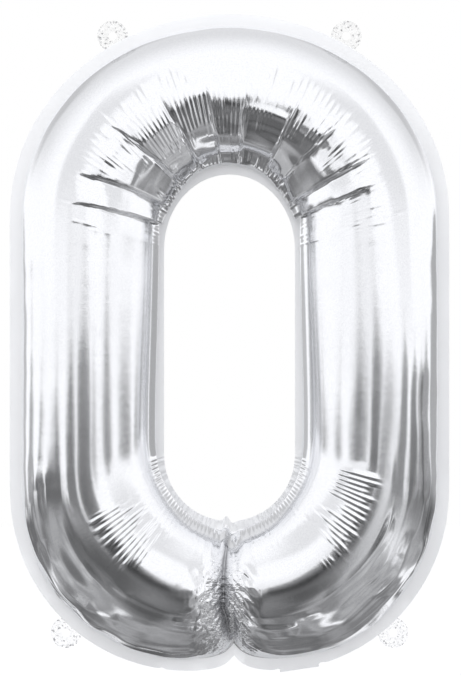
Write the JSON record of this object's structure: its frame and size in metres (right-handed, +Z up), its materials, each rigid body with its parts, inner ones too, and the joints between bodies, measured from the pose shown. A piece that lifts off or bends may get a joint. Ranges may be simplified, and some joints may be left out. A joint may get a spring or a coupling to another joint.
{
  "type": "foil number balloon",
  "caption": "Inflated foil balloon in the shape of a zero, with clear film hanging tabs and a fill neck folded behind its base.",
  "frame": {"origin": "midway between the holes of the two top tabs, in the plane of the weld seam", "axes": "+Z up along the tall axis of the 0, +X to the right as seen from the front, -Y towards the front"},
  "size_m": [0.578, 0.175, 0.8664],
  "materials": {
    "foil": "bright metallised film, slightly satin",
    "tab_film": "clear embossed film",
    "valve_film": "thin milky clear film"
  },
  "bodies": {
    "balloon": {"front_panel": "foil", "back_panel": "foil", "tab_root_top_left": "tab_film", "tab_root_top_right": "tab_film", "tab_root_bottom_left": "tab_film", "tab_root_bottom_right": "tab_film", "valve_film_front": "valve_film", "valve_film_back": "valve_film"},
    "tab_top_left": {"tab_top_left": "tab_film"},
    "tab_top_right": {"tab_top_right": "tab_film"},
    "tab_bottom_left": {"tab_bottom_left": "tab_film"},
    "tab_bottom_right": {"tab_bottom_right": "tab_film"},
    "fill_neck": {"neck_front_ply": "foil", "neck_back_ply": "foil", "neck_valve_film_front": "valve_film", "neck_valve_film_back": "valve_film"}
  },
  "joints": [
    {"name": "tab_top_left_flex", "type": "hinge", "parent": "balloon", "child": "tab_top_left", "pos_m": [-0.14923, 0, -0.00807], "axis": [0.8774, 0, 0.4798], "range_deg": [-85, 85], "stiffness_Nm_per_rad": 0.0001},
    {"name": "tab_top_right_flex", "type": "hinge", "parent": "balloon", "child": "tab_top_right", "pos_m": [0.14923, 0, -0.00807], "axis": [0.8774, 0, -0.4798], "range_deg": [-85, 85], "stiffness_Nm_per_rad": 0.0001},
    {"name": "tab_bottom_left_flex", "type": "hinge", "parent": "balloon", "child": "tab_bottom_left", "pos_m": [-0.21008, 0, -0.77767], "axis": [-0.7463, 0, 0.6656], "range_deg": [-85, 85], "stiffness_Nm_per_rad": 0.0001},
    {"name": "tab_bottom_right_flex", "type": "hinge", "parent": "balloon", "child": "tab_bottom_right", "pos_m": [0.21008, 0, -0.77767], "axis": [-0.7463, 0, -0.6656], "range_deg": [-85, 85], "stiffness_Nm_per_rad": 0.0001},
    {"name": "neck_fold", "type": "hinge", "parent": "balloon", "child": "fill_neck", "pos_m": [0.09223, 0, -0.8332], "axis": [-0.9884, 0, -0.1516], "range_deg": [-25, 170]}
  ]
}
